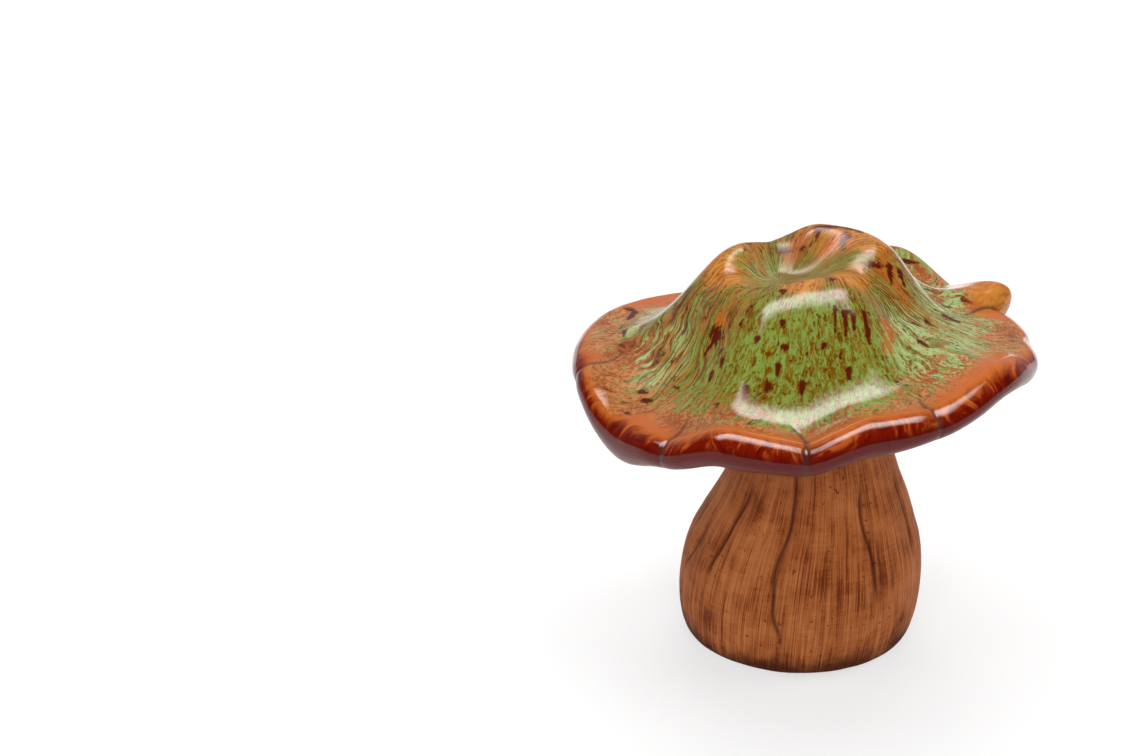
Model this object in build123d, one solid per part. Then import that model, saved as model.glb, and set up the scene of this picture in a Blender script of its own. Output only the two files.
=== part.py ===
from build123d import *
import os
from math import cos, pi, radians, sin

# Mushroom ornament: a hollow glazed cap that rests on a hollow stem.
# Millimetres, +Z up, origin on the floor under the axis that the cap turns about.
# Angles go round that axis from +X, with 270 degrees toward the front.

# Felts
FOOT_FELT_T = 1.5
FOOT_FELT_MARGIN = 4.0
RING_T = 2.0
RING_W = 5.5

# Stem
STEM_H = 108.5
STEM_TABLE = [
    # share of the height, radius, sideways lean of the centre
    (0.00, 53.5, -3.0),
    (0.03, 56.2, -3.0),
    (0.08, 57.8, -2.8),
    (0.16, 59.2, -2.3),
    (0.27, 59.4, -1.7),
    (0.42, 57.3, -0.5),
    (0.54, 52.8, 0.8),
    (0.67, 46.9, 2.5),
    (0.77, 42.3, 3.1),
    (0.86, 38.8, 3.6),
    (1.00, 34.5, 2.5),
]
SPIGOT_R = 24.0
SPIGOT_H = 16.0
DRAIN_R = 16.0

# Fits on the spigot
RING_GAP = 0.5
BORE_GAP = 1.0

# Cap, with heights above the ring that it rests on
WALL = 6.0
LIP_R = 8.0
LIP_REACH = 11.0
COLLAR_R = 38.0
HAUNCH_R = 66.0
HAUNCH_H = 2.0
LIP_RUN = 14.0
DIMPLE_H = 75.0
DIMPLE_X = -17.0
DIMPLE_FLAT = 0.2
RIM_TABLE = [
    # angle, height and radius of the lip's middle, extra depth, creases and crests in turn
    (20.0, 39.0, 91.5, 3.0),
    (27.5, 44.0, 103.5, 0.0),
    (43.5, 34.5, 96.0, 2.0),
    (62.0, 46.0, 99.0, 3.5),
    (92.0, 28.0, 95.0, 3.0),
    (107.0, 26.0, 98.5, 3.0),
    (121.5, 21.5, 103.5, 3.5),
    (152.0, 25.5, 107.5, 4.0),
    (184.0, 27.5, 103.5, 1.5),
    (208.5, 18.5, 100.0, 7.0),
    (228.0, 22.0, 102.0, 0.5),
    (245.0, 34.0, 102.0, 3.0),
    (265.0, 31.0, 100.5, 0.5),
    (283.0, 43.0, 101.5, 2.5),
    (297.4, 44.5, 103.5, 0.0),
    (322.5, 51.5, 100.5, 0.0),
    (342.0, 44.5, 98.5, 0.5),
    (359.0, 42.0, 94.5, 5.0),
]
CROWN_TABLE = [
    # angle, crest height, crest radius, shoulder radius, foot radius, foot height
    (15.0, 92.0, 28.5, 49.0, 47.5, 47.0),
    (80.0, 93.5, 23.0, 43.0, 46.0, 38.0),
    (127.5, 85.0, 28.5, 43.5, 43.5, 33.5),
    (168.0, 89.0, 35.0, 54.5, 68.0, 35.0),
    (190.0, 80.5, 39.5, 54.0, 60.0, 31.0),
    (212.0, 79.5, 37.5, 55.0, 60.0, 29.0),
    (240.0, 83.5, 31.0, 58.0, 77.0, 31.0),
    (265.0, 85.5, 25.0, 56.0, 64.0, 31.5),
    (290.0, 87.0, 25.0, 52.0, 70.0, 37.5),
    (327.0, 84.0, 20.0, 34.0, 48.0, 47.0),
]

# Levels that follow from the sizes above
SHOULDER_Z = FOOT_FELT_T + STEM_H
SEAT_Z = SHOULDER_Z + RING_T

# How finely the cap is followed
RING_POINTS = 90
DIMPLE_STEPS = 6
FLANK_STEPS = 20
LIP_STEPS = 10
UNDER_STEPS = 12


def smooth(t):
    """Ease from 0 to 1, level at both ends."""
    t = min(max(t, 0.0), 1.0)
    return t * t * (3.0 - 2.0 * t)


def wave(table, column, angle):
    """Value of a column at an angle, eased from row to row round the circle."""
    rows = table + [(table[0][0] + 360.0,) + table[0][1:]]
    angle = (angle - rows[0][0]) % 360.0 + rows[0][0]
    value = rows[0][column]
    for here, there in zip(rows, rows[1:]):
        share = (angle - here[0]) / (there[0] - here[0])
        value += (there[column] - here[column]) * smooth(share)
    return value


def cubic(a, b, c, d, t):
    """Point on the cubic curve with these four control points."""
    u = 1.0 - t
    near = u ** 3 * Vector(*a) + 3.0 * u * u * t * Vector(*b)
    return near + 3.0 * u * t * t * Vector(*c) + t ** 3 * Vector(*d)


def shares(steps):
    """Even shares of a stretch, without its start."""
    return [i / steps for i in range(1, steps + 1)]


def cap_profile(angle, inset):
    """Sideways shift, radius and height from the dimple over the lip to the collar."""
    lip_x = wave(RIM_TABLE, 2, angle) - inset
    lip_z = SEAT_Z + wave(RIM_TABLE, 1, angle)
    lip_r = LIP_R - inset
    lip_reach = LIP_REACH - inset
    drop = wave(RIM_TABLE, 3, angle)
    crest_z = SEAT_Z + wave(CROWN_TABLE, 1, angle) - inset
    crest_r = wave(CROWN_TABLE, 2, angle)
    dimple_z = SEAT_Z + DIMPLE_H - inset
    shoulder = (wave(CROWN_TABLE, 3, angle) - inset, crest_z)
    foot = (wave(CROWN_TABLE, 4, angle) - inset, SEAT_Z + wave(CROWN_TABLE, 5, angle) - inset)
    lip_top = (lip_x, lip_z + lip_r)
    lip_low = (lip_x, lip_z - lip_r - drop)
    run = (lip_x + inset - LIP_RUN, lip_low[1])
    haunch = (HAUNCH_R, SEAT_Z + HAUNCH_H + inset)
    collar = (COLLAR_R - inset, SEAT_Z + inset)

    points = []
    for t in [0.0] + shares(DIMPLE_STEPS):
        out = DIMPLE_FLAT + (1.0 - DIMPLE_FLAT) * t
        height = dimple_z + (crest_z - dimple_z) * smooth(t)
        points.append((DIMPLE_X * (1.0 - out), crest_r * out, height))
    for t in shares(FLANK_STEPS):
        p = cubic((crest_r, crest_z), shoulder, foot, lip_top, t)
        points.append((0.0, p.X, p.Y))
    for t in shares(LIP_STEPS):
        height = lip_z - drop / 2.0 + (lip_r + drop / 2.0) * cos(pi * t)
        points.append((0.0, lip_x + lip_reach * sin(pi * t), height))
    for t in shares(UNDER_STEPS):
        p = cubic(lip_low, run, haunch, collar, t)
        points.append((0.0, p.X, p.Y))
    return points


def cap_loft(inset):
    """Closed skin of the cap, drawn in from the outside by the inset."""
    angles = [360.0 * i / RING_POINTS for i in range(RING_POINTS)]
    profiles = [cap_profile(angle, inset) for angle in angles]
    even = [i / RING_POINTS for i in range(RING_POINTS + 1)]
    rings = []
    for station in zip(*profiles):
        points = []
        for angle, (shift, radius, height) in zip(angles, station):
            x = shift + radius * cos(radians(angle))
            points.append(Vector(x, radius * sin(radians(angle)), height))
        rings.append(Wire([Edge.make_spline(points, periodic=True, parameters=even)]))
    return Solid.make_loft(rings, ruled=True)


def stem_loft(inset):
    """Closed skin of the stem, drawn in from the outside by the inset."""
    rings = []
    for share, radius, lean in STEM_TABLE:
        height = FOOT_FELT_T + inset + share * (STEM_H - 2.0 * inset)
        plane = Plane(origin=(lean, 0.0, height))
        rings.append(Wire([Edge.make_circle(radius - inset, plane)]))
    return Solid.make_loft(rings)


def disc(radius, bottom, top, x=0.0):
    """Upright cylinder between two heights."""
    return Pos(x, 0.0, bottom) * Cylinder(radius, top - bottom, align=(Align.CENTER, Align.CENTER, Align.MIN))


def make_stem():
    """Hollow pear with a closed spigot on its shoulder and a drain hole in its foot."""
    spigot_top = SHOULDER_Z + SPIGOT_H
    body = stem_loft(0.0) + disc(SPIGOT_R, SHOULDER_Z - WALL, spigot_top)
    body -= stem_loft(WALL)
    body -= disc(SPIGOT_R - WALL, SHOULDER_Z - 2.0 * WALL, spigot_top - WALL)
    return body - disc(DRAIN_R, FOOT_FELT_T, FOOT_FELT_T + 2.0 * WALL, STEM_TABLE[0][2])


def make_cap():
    """Hollow ruffled cap with a bore for the spigot through its collar."""
    bore = disc(SPIGOT_R + BORE_GAP, SEAT_Z, SEAT_Z + 2.0 * WALL)
    return cap_loft(0.0) - cap_loft(WALL) - bore


def make_seat_ring():
    """Felt ring on the shoulder, round the spigot."""
    inner = SPIGOT_R + RING_GAP
    return disc(inner + RING_W, SHOULDER_Z, SEAT_Z) - disc(inner, SHOULDER_Z, SEAT_Z)


def make_base_felt():
    """Felt disc under the foot."""
    return disc(STEM_TABLE[0][1] - FOOT_FELT_MARGIN, 0.0, FOOT_FELT_T, STEM_TABLE[0][2])


os.makedirs("parts", exist_ok=True)
pieces = {
    "stem": make_stem(),
    "cap": make_cap(),
    "seat_ring": make_seat_ring(),
    "base_felt": make_base_felt(),
}
for name, piece in pieces.items():
    export_step(piece, f"parts/{name}.step")
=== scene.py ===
"""Looks of a ceramic mushroom ornament: a glazed ruffled cap on a stained, carved stem.

Sizes in the classes are millimetres and become metres where a mesh is placed. Angles are
degrees round the axis that the cap turns about, from +X, with 270 toward the viewer.
"""

import logging
import math
from dataclasses import dataclass, field
from enum import Enum
from typing import Any, NamedTuple, Optional, Sequence, Union

import bpy
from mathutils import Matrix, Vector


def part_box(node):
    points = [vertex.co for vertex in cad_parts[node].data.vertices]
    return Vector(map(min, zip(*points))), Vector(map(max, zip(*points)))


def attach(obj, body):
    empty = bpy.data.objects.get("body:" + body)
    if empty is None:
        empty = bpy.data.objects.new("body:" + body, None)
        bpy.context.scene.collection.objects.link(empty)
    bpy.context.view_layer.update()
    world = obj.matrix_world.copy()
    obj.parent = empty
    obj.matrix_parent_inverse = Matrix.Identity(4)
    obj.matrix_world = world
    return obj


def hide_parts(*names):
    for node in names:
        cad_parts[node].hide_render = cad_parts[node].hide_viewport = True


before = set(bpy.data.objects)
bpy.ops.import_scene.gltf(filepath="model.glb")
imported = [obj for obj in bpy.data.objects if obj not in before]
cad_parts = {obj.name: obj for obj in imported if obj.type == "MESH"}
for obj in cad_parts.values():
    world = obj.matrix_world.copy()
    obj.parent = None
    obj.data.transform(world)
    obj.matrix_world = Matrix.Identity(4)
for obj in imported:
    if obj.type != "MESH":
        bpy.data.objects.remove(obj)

LOG = logging.getLogger("ornament")
MM = 0.001
FULL_TURN = 360.0
RING_GAP = 0.5
WELD = 2e-6
SHARP_EDGE = 50.0
SEED_STEP = (31.7, 17.3, 7.9)
WHITE = (1.0, 1.0, 1.0, 1.0)

Tint = tuple[int, int, int]
Place = tuple[float, float, float]
Socket = bpy.types.NodeSocket


def linear(tint: Tint) -> tuple[float, float, float, float]:
    """Turn a tint in screen values into the linear colour that a socket takes.

    Args:
        tint: Red, green and blue from 0 to 255.

    Returns:
        The linear colour with full opacity.
    """
    shares = [channel / 255.0 for channel in tint]
    low, high = [s / 12.92 for s in shares], [((s + 0.055) / 1.055) ** 2.4 for s in shares]
    red, green, blue = (lo if s <= 0.04045 else hi for s, lo, hi in zip(shares, low, high))
    return red, green, blue, 1.0


# Node trees


@dataclass(frozen=True)
class Value:
    """A number socket of a node tree, on which arithmetic adds Math nodes."""

    graph: "Graph"
    socket: Socket

    def __add__(self, other: "Number") -> "Value":
        """Sum with another number."""
        return self.graph.math("ADD", self, other)

    __radd__ = __add__

    def __sub__(self, other: "Number") -> "Value":
        """This number less another."""
        return self.graph.math("SUBTRACT", self, other)

    def __rsub__(self, other: "Number") -> "Value":
        """Another number less this one."""
        return self.graph.math("SUBTRACT", other, self)

    def __mul__(self, other: "Number") -> "Value":
        """Product with another number."""
        return self.graph.math("MULTIPLY", self, other)

    __rmul__ = __mul__

    def __truediv__(self, other: "Number") -> "Value":
        """This number divided by another."""
        return self.graph.math("DIVIDE", self, other)

    def __rtruediv__(self, other: "Number") -> "Value":
        """Another number divided by this one."""
        return self.graph.math("DIVIDE", other, self)

    def __neg__(self) -> "Value":
        """This number with its sign changed."""
        return self.graph.math("MULTIPLY", self, -1.0)

    def least(self, other: "Number") -> "Value":
        """The smaller of two numbers."""
        return self.graph.math("MINIMUM", self, other)

    def most(self, other: "Number") -> "Value":
        """The larger of two numbers."""
        return self.graph.math("MAXIMUM", self, other)

    def sin(self) -> "Value":
        """Sine of an angle in radians."""
        return self.graph.math("SINE", self)

    def cos(self) -> "Value":
        """Cosine of an angle in radians."""
        return self.graph.math("COSINE", self)

    def radians(self) -> "Value":
        """An angle in degrees as radians."""
        return self.graph.math("RADIANS", self)

    def bell(self, width: "Number") -> "Value":
        """1 at zero, falling off over the width on both sides."""
        share = self / width
        return self.graph.math("EXPONENT", -(share * share))

    def turned(self) -> "Value":
        """An angle in degrees brought to between a half turn back and a half turn on."""
        return self.graph.math("WRAP", self, FULL_TURN / 2, -FULL_TURN / 2)

    def ramp(self, low: float, high: float) -> "Value":
        """Share from 0 to 1 between two levels, straight, and held beyond them."""
        return self.graph.value("ShaderNodeMapRange", {}, {0: self, 1: low, 2: high})

    def ease(self, low: float, high: float) -> "Value":
        """Share from 0 to 1 between two levels, level at both ends."""
        shape = {"interpolation_type": "SMOOTHSTEP", "clamp": False}
        return self.graph.value("ShaderNodeMapRange", shape, {0: self, 1: low, 2: high})


Number = Union[float, Value]


class Graph:
    """A node tree, with the one method that adds nodes to it."""

    def __init__(self, tree: bpy.types.NodeTree) -> None:
        """Wrap a tree."""
        self.tree = tree

    def node(
        self,
        kind: str,
        settings: Optional[dict[str, Any]] = None,
        inputs: Optional[dict[Union[str, int], Any]] = None,
    ) -> bpy.types.Node:
        """Add a node.

        Args:
            kind: The node's type.
            settings: Its properties, set first; "points" are those of a curve.
            inputs: Values or links for its sockets, by name or place; a list links each.

        Returns:
            The node.
        """
        made = self.tree.nodes.new(kind)
        for name, setting in (settings or {}).items():
            if name == "points":
                self._bend(made.mapping, setting)
            else:
                setattr(made, name, setting)
        for key, given in (inputs or {}).items():
            for one in given if isinstance(given, list) else [given]:
                source = one.socket if isinstance(one, Value) else one
                if isinstance(source, Socket):
                    self.tree.links.new(source, made.inputs[key])
                else:
                    made.inputs[key].default_value = source
        return made

    @staticmethod
    def _bend(mapping: bpy.types.CurveMapping, points: Sequence[tuple[float, float]]) -> None:
        """Lay a curve through points.

        Args:
            mapping: The curve node's mapping.
            points: Places from 0 to 1 with the curve's level there, also from 0 to 1.
        """
        curve = mapping.curves[0]
        for _ in points[2:]:
            curve.points.new(0.5, 0.5)
        for spot, place in zip(curve.points, points):
            spot.location = place
        mapping.update()

    def value(self, kind: str, settings: dict[str, Any], inputs: dict[Union[str, int], Any]) -> Value:
        """Add a node and wrap its first output as a number."""
        return Value(self, self.node(kind, settings, inputs).outputs[0])

    def math(self, operation: str, *terms: Number) -> Value:
        """Add a Math node on numbers."""
        return self.value("ShaderNodeMath", {"operation": operation}, dict(enumerate(terms)))

    def vector(self, x: Number, y: Number, z: Number) -> Socket:
        """Join three numbers into a vector."""
        return self.node("ShaderNodeCombineXYZ", {}, {0: x, 1: y, 2: z}).outputs[0]

    def split(self, vector: Socket) -> tuple[Value, Value, Value]:
        """Take a vector apart into its three numbers."""
        x, y, z = self.node("ShaderNodeSeparateXYZ", {}, {0: vector}).outputs
        return Value(self, x), Value(self, y), Value(self, z)

    def scaled(self, vector: Union[Socket, Place], scale: Number) -> Socket:
        """Multiply a vector by a number."""
        made = self.node("ShaderNodeVectorMath", {"operation": "SCALE"}, {0: vector, "Scale": scale})
        return made.outputs[0]

    def noise(
        self,
        place: Socket,
        seed: float = 0.0,
        detail: float = 2.0,
        roughness: float = 0.5,
        distortion: float = 0.0,
    ) -> Value:
        """Cloudy number about 0.5.

        Args:
            place: Where it is read, in units of its grain.
            seed: Which of many like patterns it is.
            detail: How many finer layers it has.
            roughness: How strong those layers are.
            distortion: How far the pattern is stirred.

        Returns:
            The number.
        """
        shift = tuple(step * seed for step in SEED_STEP)
        moved = self.node("ShaderNodeVectorMath", {"operation": "ADD"}, {0: place, 1: shift}).outputs[0]
        grain = {"Scale": 1.0, "Detail": detail, "Roughness": roughness, "Distortion": distortion}
        return self.value("ShaderNodeTexNoise", {}, {"Vector": moved, **grain})


class Form(Graph):
    """A geometry node tree that makes the mesh of one piece."""

    helpers: tuple[str, ...] = ("u", "v", "angle", "sink")

    def __init__(self, name: str, sizes: dict[str, Union[int, float]]) -> None:
        """Start a tree.

        Args:
            name: The tree's name.
            sizes: Its named inputs with their values, whole numbers for counts.
        """
        super().__init__(bpy.data.node_groups.new(name, "GeometryNodeTree"))
        self.sizes = sizes
        face = self.tree.interface
        face.new_socket("Geometry", in_out="OUTPUT", socket_type="NodeSocketGeometry")
        for label, size in sizes.items():
            kind = "NodeSocketInt" if isinstance(size, int) else "NodeSocketFloat"
            face.new_socket(label, in_out="INPUT", socket_type=kind)
        self.source = self.node("NodeGroupInput")

    def size(self, label: str) -> Value:
        """One of the tree's named inputs."""
        return Value(self, self.source.outputs[label])

    def grid(self, columns: Number, rows: Number) -> Socket:
        """Flat sheet whose points carry their share across as "u" and along as "v".

        Args:
            columns: How many points it has across.
            rows: How many points it has along.

        Returns:
            The sheet.
        """
        counts = {"Size X": 1.0, "Size Y": 1.0, "Vertices X": columns, "Vertices Y": rows}
        sheet = self.node("GeometryNodeMeshGrid", {}, counts).outputs["Mesh"]
        x, y, _ = self.split(self.node("GeometryNodeInputPosition").outputs[0])
        for name, share in (("u", x + 0.5), ("v", y + 0.5)):
            sheet = self.store(sheet, name, share)
        return sheet

    def store(self, mesh: Socket, name: str, given: Union[Value, Socket]) -> Socket:
        """Keep a number or a vector on a mesh's points.

        Args:
            mesh: The mesh.
            name: The name that it is kept under.
            given: What is kept.

        Returns:
            The mesh.
        """
        kind = "FLOAT" if isinstance(given, Value) else "FLOAT_VECTOR"
        return self.node(
            "GeometryNodeStoreNamedAttribute",
            {"data_type": kind, "domain": "POINT"},
            {"Geometry": mesh, "Name": name, "Value": given},
        ).outputs[0]

    def kept(self, name: str) -> Value:
        """Read a number that a mesh's points carry."""
        return self.value("GeometryNodeInputNamedAttribute", {"data_type": "FLOAT"}, {"Name": name})

    def stretches(self, rows: dict[Any, int]) -> dict[Any, Value]:
        """How far a point of a sheet is along each stretch of a profile.

        Args:
            rows: How many faces each stretch has along.

        Returns:
            A share for each stretch, 0 before it and 1 after it.
        """
        along = self.kept("v") * sum(rows.values())
        shares: dict[Any, Value] = {}
        start = 0
        for stretch, count in rows.items():
            shares[stretch] = along.ramp(start, start + count)
            start += count
        return shares

    def lumps(self, grain: float, seed: float) -> Value:
        """Unevenness about 0 on a mesh's points, with its grain in millimetres."""
        spot = self.scaled(self.node("GeometryNodeInputPosition").outputs[0], 1.0 / (grain * MM))
        return self.noise(spot, seed) - 0.5

    def place(self, mesh: Socket, x: Value, y: Value, z: Value) -> Socket:
        """Move a mesh's points to places in millimetres."""
        spot = self.scaled(self.vector(x, y, z), MM)
        return self.node("GeometryNodeSetPosition", {}, {"Geometry": mesh, "Position": spot}).outputs[0]

    def swell(self, mesh: Socket, amount: Value) -> Socket:
        """Move a mesh's points outward along their normals, in millimetres."""
        out = self.scaled(self.node("GeometryNodeInputNormal").outputs[0], amount * MM)
        return self.node("GeometryNodeSetPosition", {}, {"Geometry": mesh, "Offset": out}).outputs[0]

    def flipped(self, mesh: Socket) -> Socket:
        """Turn a mesh's faces over."""
        return self.node("GeometryNodeFlipFaces", {}, {"Mesh": mesh}).outputs[0]

    def closed(self, *meshes: Socket) -> Socket:
        """Join meshes and weld the points that meet.

        Args:
            meshes: The meshes.

        Returns:
            One mesh without open seams.
        """
        whole = self.node("GeometryNodeJoinGeometry", {}, {"Geometry": list(meshes)}).outputs[0]
        weld = {"Geometry": whole, "Distance": WELD}
        return self.node("GeometryNodeMergeByDistance", {}, weld).outputs[0]

    def shaded(self, mesh: Socket) -> Socket:
        """Shade a mesh smooth between its sharp edges.

        Args:
            mesh: The mesh.

        Returns:
            The mesh, shaded.
        """
        smooth = {"Geometry": mesh, "Shade Smooth": True}
        mesh = self.node("GeometryNodeSetShadeSmooth", {"domain": "FACE"}, smooth).outputs[0]
        turn = self.value("GeometryNodeInputMeshEdgeAngle", {}, {})
        limit = {0: turn, 1: math.radians(SHARP_EDGE)}
        sharp = self.value("FunctionNodeCompare", {"operation": "GREATER_THAN"}, limit)
        edges = {"Geometry": mesh, "Selection": sharp, "Shade Smooth": False}
        return self.node("GeometryNodeSetShadeSmooth", {"domain": "EDGE"}, edges).outputs[0]

    def finish(self, mesh: Socket, name: str, material: bpy.types.Material) -> bpy.types.Object:
        """Shade the mesh, end the tree and make a plain mesh object from it.

        Args:
            mesh: The last geometry of the tree.
            name: The piece's name.
            material: The piece's finish.

        Returns:
            The piece, with no modifier on it.
        """
        mesh = self.node("GeometryNodeRealizeInstances", {}, {"Geometry": self.shaded(mesh)}).outputs[0]
        dressed = self.node("GeometryNodeSetMaterial", {}, {"Geometry": mesh, "Material": material})
        self.node("NodeGroupOutput", {}, {0: dressed.outputs[0]})

        piece = bpy.data.objects.new(name, bpy.data.meshes.new(name))
        bpy.context.scene.collection.objects.link(piece)
        shaping = piece.modifiers.new("shape", "NODES")
        shaping.node_group = self.tree
        for item in self.tree.interface.items_tree:
            if item.in_out == "INPUT":
                shaping[item.identifier] = self.sizes[item.name]
        ready = bpy.context.evaluated_depsgraph_get()
        made = bpy.data.meshes.new_from_object(
            piece.evaluated_get(ready), preserve_all_data_layers=True, depsgraph=ready
        )
        piece.modifiers.remove(shaping)
        piece.data = made
        made.name = name
        for used in self.helpers:
            if used in made.attributes:
                made.attributes.remove(made.attributes[used])
        return piece


class Patch(NamedTuple):
    """Soft round spot on a piece: its middle and how far from there it fades out."""

    middle: Place
    reach: float


class Stroke(NamedTuple):
    """Soft line on a piece: where it starts and ends, and how far it spreads at its start."""

    start: Place
    end: Place
    width: float


class Paint(Graph):
    """The node tree of one material."""

    def __init__(self, name: str) -> None:
        """Start a material with an empty tree.

        Args:
            name: The material's name.
        """
        self.material = bpy.data.materials.new(name)
        self.material.use_nodes = True
        super().__init__(self.material.node_tree)
        self.tree.nodes.clear()

    def object_place(self) -> Socket:
        """Place on the piece, in millimetres."""
        return self.scaled(self.node("ShaderNodeTexCoord").outputs["Object"], 1.0 / MM)

    def attribute(self, name: str) -> tuple[Value, Value, Value]:
        """The three numbers that the mesh carries under a name."""
        return self.split(self.node("ShaderNodeAttribute", {"attribute_name": name}).outputs["Vector"])

    def mix(self, under: Union[Tint, Socket], over: Union[Tint, Socket], share: Number) -> Socket:
        """Lay one colour over another.

        Args:
            under: The colour where the share is 0.
            over: The colour where the share is 1.
            share: How far the second covers the first.

        Returns:
            The colour.
        """
        colours = [linear(c) if isinstance(c, tuple) else c for c in (under, over)]
        made = self.node("ShaderNodeMix", {"data_type": "RGBA"}, {0: share, 6: colours[0], 7: colours[1]})
        return made.outputs[2]

    def patch(self, place: Socket, patch: Patch) -> Value:
        """Soft round spot on the piece.

        Args:
            place: Place on the piece.
            patch: The spot.

        Returns:
            1 in the middle, 0 beyond the reach.
        """
        ends = {0: place, 1: patch.middle}
        away = self.node("ShaderNodeVectorMath", {"operation": "DISTANCE"}, ends)
        return Value(self, away.outputs["Value"]).ease(patch.reach, 0.0)

    def stroke(self, place: Socket, line: Stroke) -> Value:
        """Soft line on the piece that narrows toward its end.

        Args:
            place: Place on the piece.
            line: The line.

        Returns:
            1 on the line at its start, less toward its end, 0 beyond the width.
        """
        way = tuple(there - here for here, there in zip(line.start, line.end))
        length = sum(part * part for part in way)
        ends = {0: place, 1: line.start}
        away = self.node("ShaderNodeVectorMath", {"operation": "SUBTRACT"}, ends).outputs[0]
        dot = self.node("ShaderNodeVectorMath", {"operation": "DOT_PRODUCT"}, {0: away, 1: way})
        along = (Value(self, dot.outputs["Value"]) / length).most(0.0).least(1.0)
        off = self.node(
            "ShaderNodeVectorMath", {"operation": "DISTANCE"}, {0: away, 1: self.scaled(way, along)}
        )
        return (Value(self, off.outputs["Value"]) + along * line.width * 0.3).ease(line.width, 0.0)

    def spots(self, place: Socket, patches: Sequence[Patch]) -> Value:
        """Soft spots on the piece, taken together.

        Args:
            place: Place on the piece.
            patches: The spots.

        Returns:
            The strongest of them.
        """
        whole: Number = 0.0
        for patch in patches:
            whole = self.patch(place, patch).most(whole)
        return whole

    def strokes(self, place: Socket, lines: Sequence[Stroke]) -> Value:
        """Soft lines on the piece, taken together.

        Args:
            place: Place on the piece.
            lines: The lines.

        Returns:
            The strongest of them.
        """
        whole: Number = 0.0
        for line in lines:
            whole = self.stroke(place, line).most(whole)
        return whole

    def bump(self, height: Value, depth: float) -> Socket:
        """Normal of a surface with this fine relief, in millimetres."""
        relief = {"Strength": 1.0, "Distance": depth * MM, "Height": height}
        return self.node("ShaderNodeBump", {}, relief).outputs[0]

    def finish(self, **inputs: Any) -> bpy.types.Material:
        """End the tree in a surface shader.

        Args:
            inputs: The shader's sockets, with underscores for the spaces in their names.

        Returns:
            The material.
        """
        named = {label.replace("_", " "): given for label, given in inputs.items()}
        shader = self.node("ShaderNodeBsdfPrincipled", {}, named)
        self.node("ShaderNodeOutputMaterial", {}, {"Surface": shader.outputs[0]})
        return self.material


# Finishes


class Zones(NamedTuple):
    """Where the glaze changes on the cap, from 0 to 1, and the way past the edge of its lip."""

    edge: Value
    front: Value
    right: Value
    left: Value
    hills: Value
    combed: Value
    brim: Value
    pool: Value
    knob: Value
    shy: Value
    crown: Value


class Grain(NamedTuple):
    """Patterns in the glaze, each a number about 0.5, and its dark hairs from 0 to 1."""

    cloud: Value
    speck: Value
    dots: Value
    worms: Value
    combs: Value
    tone: Value
    fleck: Value
    ridges: Value
    licks: Value
    blots: Value
    threads: Value
    hairs: Value


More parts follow.
